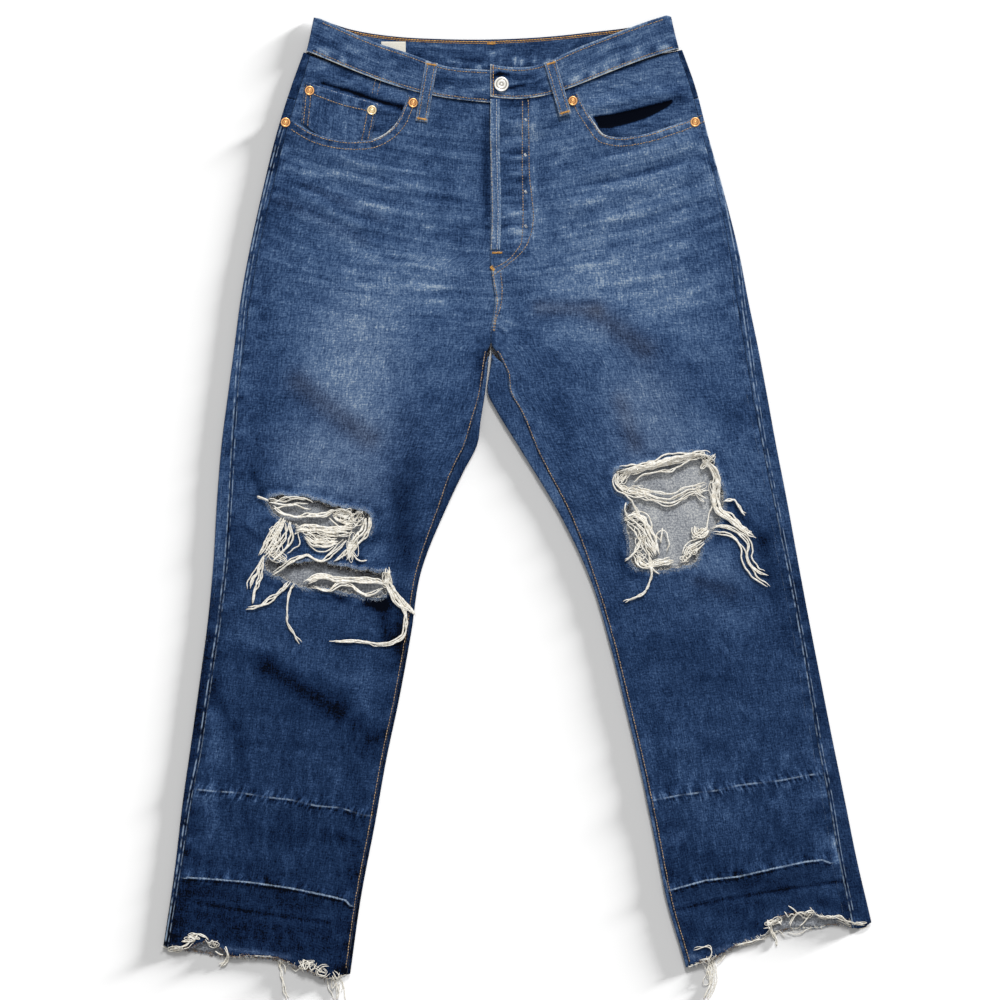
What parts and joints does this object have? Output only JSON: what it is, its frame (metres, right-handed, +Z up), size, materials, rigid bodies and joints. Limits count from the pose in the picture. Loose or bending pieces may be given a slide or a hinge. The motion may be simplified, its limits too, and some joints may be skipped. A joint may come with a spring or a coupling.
{
  "type": "ripped jeans",
  "caption": "Worn blue jeans with ripped knees and frayed hems, button fly, five pockets and belt loops, laid flat face up.",
  "frame": {"origin": "bottom centre of the bounding box, on the surface the jeans lie on", "axes": "+Z up out of the front of the jeans; +Y from the hems towards the waist; +X towards the wearer's left leg"},
  "size_m": [0.7224, 1.0082, 0.0121],
  "materials": {
    "denim": "mid-indigo denim, twill, little faded",
    "denim_worn": "indigo denim faded by wear, with whiskers and abraded edges",
    "label": "plain cream woven label, bare",
    "thread": "undyed cotton weft threads, frayed",
    "copper": "worn copper rivet",
    "brass": "worn pale rivet",
    "nickel": "worn nickel-plated shank button, bare face"
  },
  "bodies": {
    "root": {"back_left": "denim", "back_pocket_left": "denim", "back_pocket_right": "denim", "back_right": "denim", "belt_loop_back_centre": "denim", "belt_loop_back_left": "denim", "belt_loop_back_right": "denim", "belt_loop_front_left": "denim_worn", "belt_loop_front_right": "denim_worn", "button": "nickel", "coin_pocket": "denim_worn", "fly_edge": "denim_worn", "front_left": "denim_worn", "front_right": "denim_worn", "hem_fringe_left": "thread", "hem_fringe_right": "thread", "hem_tuft_left_1": "thread", "hem_tuft_left_2": "thread", "hem_tuft_right_1": "thread", "hem_tuft_right_2": "thread", "hem_tuft_right_3": "thread", "knee_band_left_1": "thread", "knee_band_left_2": "thread", "knee_band_left_3": "thread", "knee_band_left_4": "thread", "knee_band_left_5": "thread", "knee_band_right_1": "thread", "knee_band_right_2": "thread", "knee_band_right_3": "thread", "knee_band_right_4": "thread", "knee_tuft_left_1": "thread", "knee_tuft_right_1": "thread", "knee_tuft_right_2": "thread", "knee_tuft_right_3": "thread", "knee_tuft_right_4": "thread", "label": "label", "pocket_facing_left": "denim", "pocket_facing_right": "denim", "rivet_coin_inner": "brass", "rivet_coin_outer": "copper", "rivet_mouth_left_inner": "copper", "rivet_mouth_left_outer": "copper", "rivet_mouth_right_inner": "copper", "rivet_mouth_right_outer": "copper", "waistband": "denim_worn", "yoke_left": "denim", "yoke_right": "denim"}
  },
  "joints": []
}
